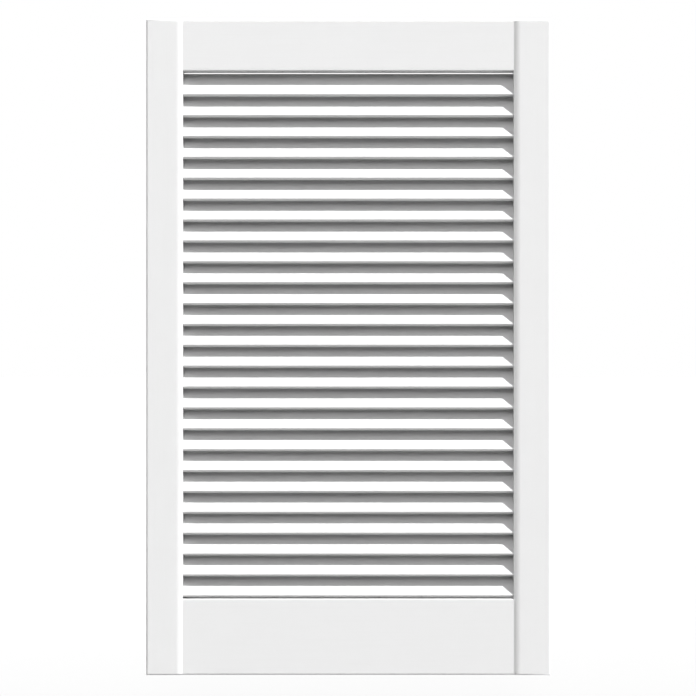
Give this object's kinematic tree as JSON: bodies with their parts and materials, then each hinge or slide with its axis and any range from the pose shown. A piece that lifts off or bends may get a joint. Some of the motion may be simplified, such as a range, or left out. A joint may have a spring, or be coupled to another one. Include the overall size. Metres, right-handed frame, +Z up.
{
  "type": "louvred door leaf",
  "caption": "White lacquered louvred cabinet door leaf: moulded stiles and set-back rails frame a full panel of fixed slats that slope down towards the front and let air through.",
  "frame": {"origin": "middle of the bottom edge, halfway through the thickness", "axes": "+Z up along the stiles, X across the leaf, and the front, where the slats slope down, faces -Y"},
  "size_m": [0.444, 0.022, 0.72],
  "materials": {
    "white_lacquer": "smooth satin white lacquer on wood",
    "beech": "bare turned beech"
  },
  "bodies": {
    "root": {"left_stile": "white_lacquer", "right_stile": "white_lacquer", "top_rail": "white_lacquer", "bottom_rail": "white_lacquer", "slat_01": "white_lacquer", "slat_02": "white_lacquer", "slat_03": "white_lacquer", "slat_04": "white_lacquer", "slat_05": "white_lacquer", "slat_06": "white_lacquer", "slat_07": "white_lacquer", "slat_08": "white_lacquer", "slat_09": "white_lacquer", "slat_10": "white_lacquer", "slat_11": "white_lacquer", "slat_12": "white_lacquer", "slat_13": "white_lacquer", "slat_14": "white_lacquer", "slat_15": "white_lacquer", "slat_16": "white_lacquer", "slat_17": "white_lacquer", "slat_18": "white_lacquer", "slat_19": "white_lacquer", "slat_20": "white_lacquer", "slat_21": "white_lacquer", "slat_22": "white_lacquer", "slat_23": "white_lacquer", "slat_24": "white_lacquer", "slat_25": "white_lacquer", "dowel_top_left_upper": "beech", "dowel_top_left_lower": "beech", "dowel_top_right_upper": "beech", "dowel_top_right_lower": "beech", "dowel_bottom_left_upper": "beech", "dowel_bottom_left_lower": "beech", "dowel_bottom_right_upper": "beech", "dowel_bottom_right_lower": "beech"}
  },
  "joints": []
}
